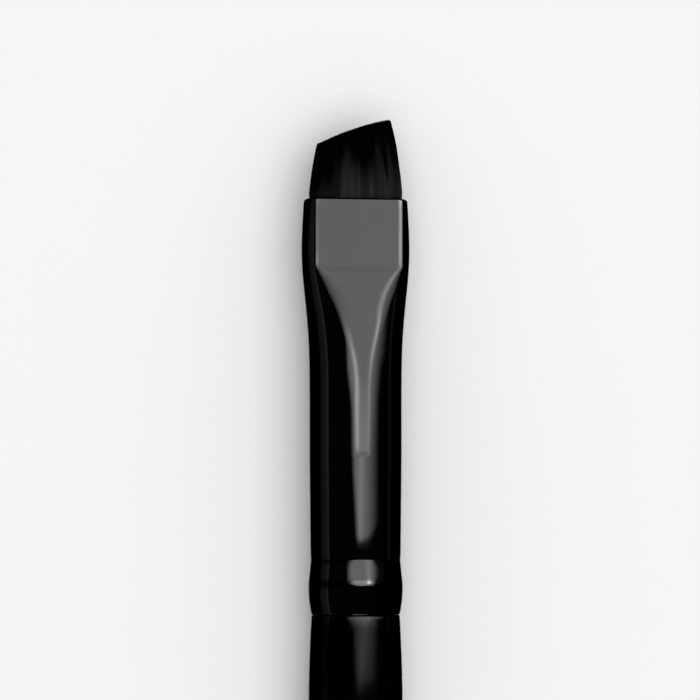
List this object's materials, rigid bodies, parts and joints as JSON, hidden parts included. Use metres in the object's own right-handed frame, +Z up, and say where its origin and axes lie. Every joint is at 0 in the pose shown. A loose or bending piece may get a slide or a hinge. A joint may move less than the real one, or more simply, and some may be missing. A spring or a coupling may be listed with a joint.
{
  "type": "angled makeup brush",
  "caption": "Slim makeup brush with a slanted flat tuft, a pressed and crimped tube ferrule and a turned tapering handle.",
  "frame": {"origin": "centre of the bounding box on the surface that the brush lies on", "axes": "+X along the brush from the tail to the hair, +Y across the flattened end towards the hair's short side, +Z up, square to the pressed flats"},
  "size_m": [0.1698, 0.0078, 0.0068],
  "materials": {
    "hair": "matte",
    "ferrule_metal": "gloss",
    "glue": "satin",
    "lacquered_wood": "gloss"
  },
  "bodies": {
    "root": {"tuft": "hair", "ferrule": "ferrule_metal", "glue_plug": "glue", "handle": "lacquered_wood"}
  },
  "joints": []
}
